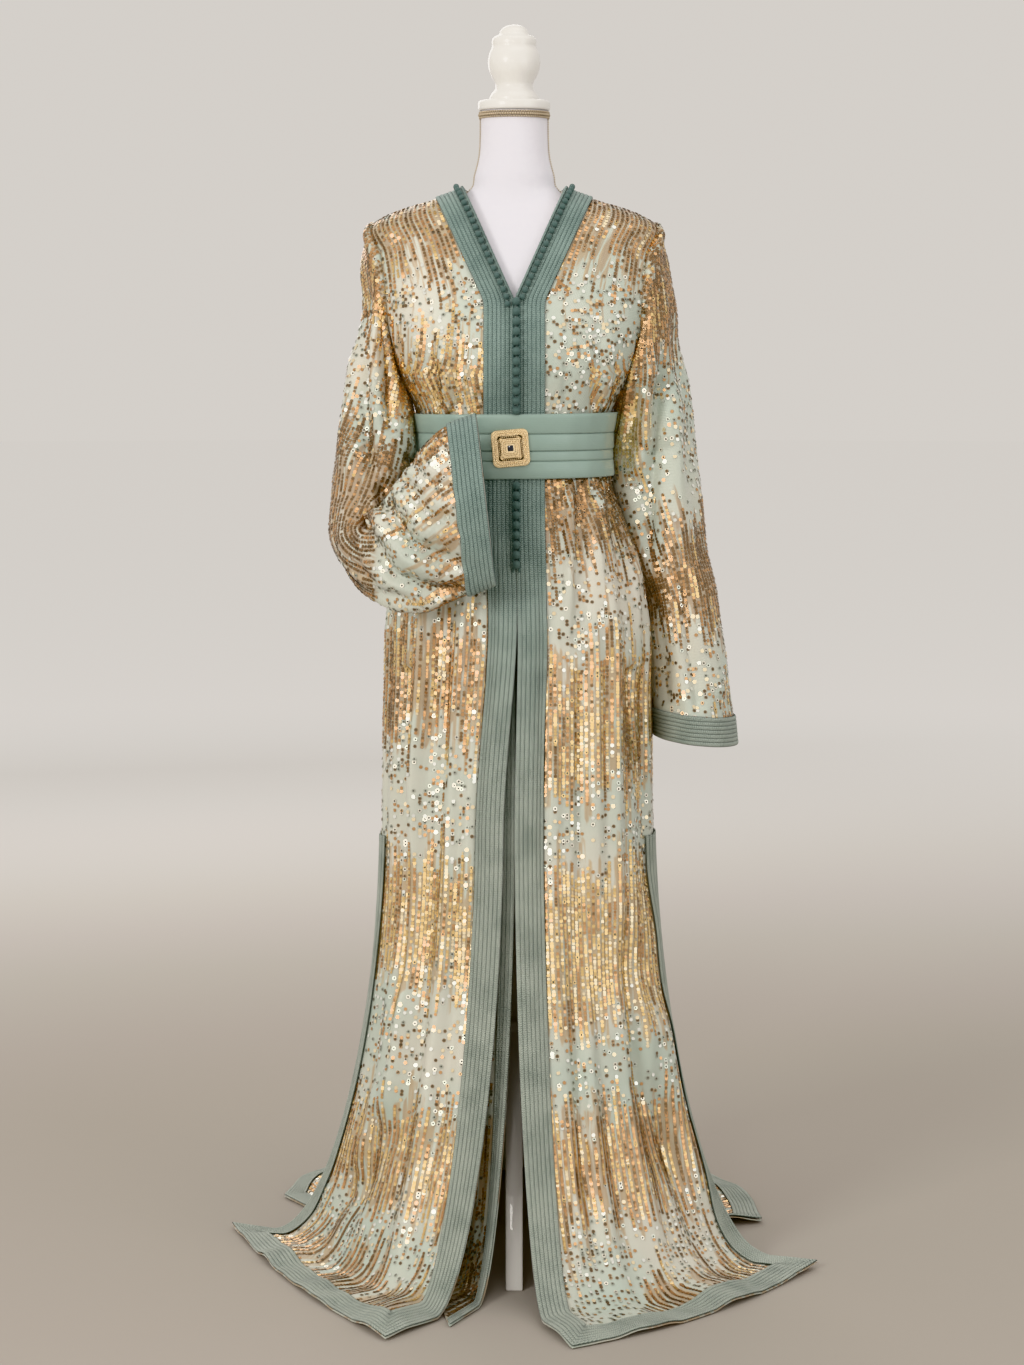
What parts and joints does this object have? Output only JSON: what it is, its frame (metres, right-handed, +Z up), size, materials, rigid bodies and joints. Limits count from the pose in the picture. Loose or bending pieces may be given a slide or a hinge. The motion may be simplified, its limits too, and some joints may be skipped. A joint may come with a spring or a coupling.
{
  "type": "moroccan kaftan on dress form",
  "caption": "Floor-length kaftan with sequin bands, sage braid edging and a buckled belt, worn by a limbless dress form on a low leg stand, one sleeve hanging and one bent across the front.",
  "frame": {"origin": "on the floor, at the centre of the whole part's outline seen from above", "axes": "+Z up, -Y towards the front of the garment, +X towards the wearer's left"},
  "size_m": [0.832, 0.887, 1.7078],
  "materials": {
    "sequinned_cloth": "sheer mint cloth with bands of gold and copper sequins",
    "sage_braid": "ribbed matte braid and knots",
    "sage_satin": "smooth satin in flat pleats",
    "gilt": "polished gilt filigree",
    "stone": "polished dark stone",
    "form_jersey": "smooth white jersey",
    "beaded_braid": "beaded braid",
    "white_paint": "turned and cut wood, painted white, satin"
  },
  "bodies": {
    "root": {"front_left": "sequinned_cloth", "front_right": "sequinned_cloth", "back": "sequinned_cloth", "front_underlap": "sequinned_cloth", "sleeve_left": "sequinned_cloth", "sleeve_right": "sequinned_cloth", "trim_front_left": "sage_braid", "trim_front_right": "sage_braid", "trim_neck_back": "sage_braid", "trim_hem_left": "sage_braid", "trim_hem_right": "sage_braid", "trim_hem_back": "sage_braid", "trim_slit_front_left": "sage_braid", "trim_slit_front_right": "sage_braid", "trim_slit_back_left": "sage_braid", "trim_slit_back_right": "sage_braid", "trim_underlap": "sage_braid", "cuff_left": "sage_braid", "cuff_right": "sage_braid", "buttons_upper": "sage_braid", "buttons_lower": "sage_braid", "knots_neck_left": "sage_braid", "knots_neck_right": "sage_braid", "belt": "sage_satin", "buckle": "gilt", "buckle_stone": "stone", "form": "form_jersey", "form_braid": "beaded_braid", "form_cap": "white_paint", "form_finial": "white_paint", "stand_post": "white_paint", "stand_hub": "white_paint", "stand_leg_front": "white_paint", "stand_leg_left": "white_paint", "stand_leg_right": "white_paint"}
  },
  "joints": []
}
